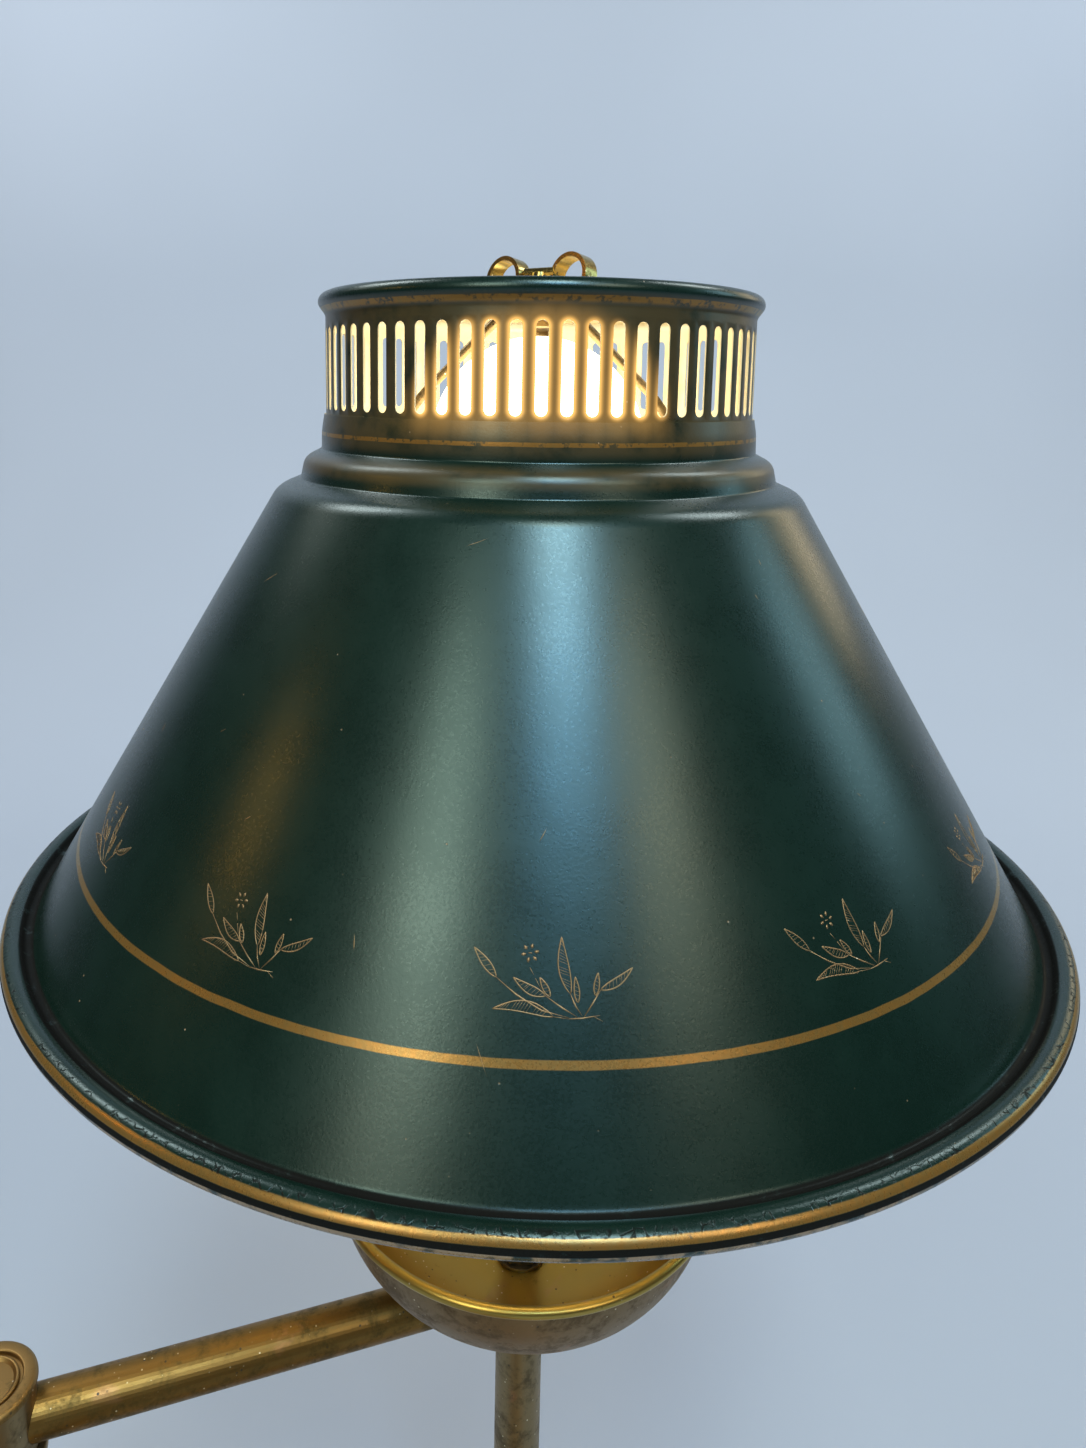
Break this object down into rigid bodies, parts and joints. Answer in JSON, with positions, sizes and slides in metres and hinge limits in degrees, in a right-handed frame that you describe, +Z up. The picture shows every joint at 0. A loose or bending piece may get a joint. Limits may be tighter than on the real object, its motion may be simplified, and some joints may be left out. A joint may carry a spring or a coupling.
{
  "type": "bouillotte lamp",
  "caption": "Swing-arm bouillotte lamp: round weighted base, jointed brass arms, drip cup, riser tube, harp and a painted metal shade with a pierced gallery.",
  "frame": {"origin": "centre of the underside of the base, on the table", "axes": "+Z up along the column; the front of the lamp faces -Y; +X is to the right seen from the front"},
  "size_m": [0.3749, 0.4932, 0.7051],
  "materials": {
    "brass": "antique satin",
    "dark_brass": "dark patina",
    "cup_brass": "brown outside, satin inside",
    "steel": "plain",
    "tole": "satin dark green with gold lines",
    "iron": "as cast",
    "felt": "felt",
    "plastic": "moulded",
    "lead": "insulated wire",
    "card": "fibre",
    "cap_metal": "rolled",
    "glass": "frosted white",
    "clear_glass": "clear"
  },
  "bodies": {
    "stand": {"felt_pad": "felt", "base_weight": "iron", "base_shell": "brass", "base_collar": "dark_brass", "base_nut": "steel", "base_washer": "steel", "cord_bushing": "plastic", "column_tube": "brass", "column_pipe": "steel", "column_lead": "lead", "column_seat": "dark_brass", "column_thrust_washer": "steel", "column_spring_washer": "steel", "column_lock_nut": "steel"},
    "lower_arm": {"column_barrel": "dark_brass", "column_cap": "brass", "lower_arm_tube": "brass", "lower_arm_lead": "lead", "elbow_lower_barrel": "dark_brass", "elbow_cap_nut": "brass", "elbow_pivot": "steel", "elbow_thrust_washer": "steel", "elbow_spring_washer": "steel", "elbow_lock_nut": "steel"},
    "upper_arm": {"elbow_upper_barrel": "dark_brass", "elbow_cap": "brass", "upper_arm_tube": "brass", "upper_arm_lead": "lead", "head_hub": "dark_brass", "lamp_pipe": "steel", "stem_tube": "brass", "stem_nut": "steel", "switch_housing": "dark_brass", "switch_plate": "brass", "switch_body": "plastic", "cup": "cup_brass", "cup_washer": "steel", "cup_nut": "steel", "riser_tube": "brass", "riser_washer": "dark_brass", "harp_saddle": "dark_brass", "harp_sleeves": "brass", "harp": "dark_brass", "harp_stud": "brass", "socket_cap": "brass", "socket_shell": "brass", "socket_liner": "card", "socket_base": "plastic", "screw_shell": "brass", "center_contact": "brass", "bulb_base": "cap_metal", "bulb_glass": "glass", "bulb_mount": "clear_glass", "shade_spider": "dark_brass", "shade_gallery": "tole", "shade_cone": "tole", "finial": "brass"},
    "knob": {"switch_knob": "brass"}
  },
  "joints": [
    {"name": "column_swivel", "type": "hinge", "parent": "stand", "child": "lower_arm", "pos_m": [0, 0, 0.2735], "axis": [0, 0, 1], "range_deg": [-160, 160]},
    {"name": "elbow_swivel", "type": "hinge", "parent": "lower_arm", "child": "upper_arm", "pos_m": [-0.14708, 0.12341, 0.3004], "axis": [0, 0, 1], "range_deg": [-45, 270]},
    {"name": "knob_turn", "type": "hinge", "parent": "upper_arm", "child": "knob", "pos_m": [0.0318, 0.19316, 0.1894], "axis": [0, 0, 1], "continuous": true}
  ]
}
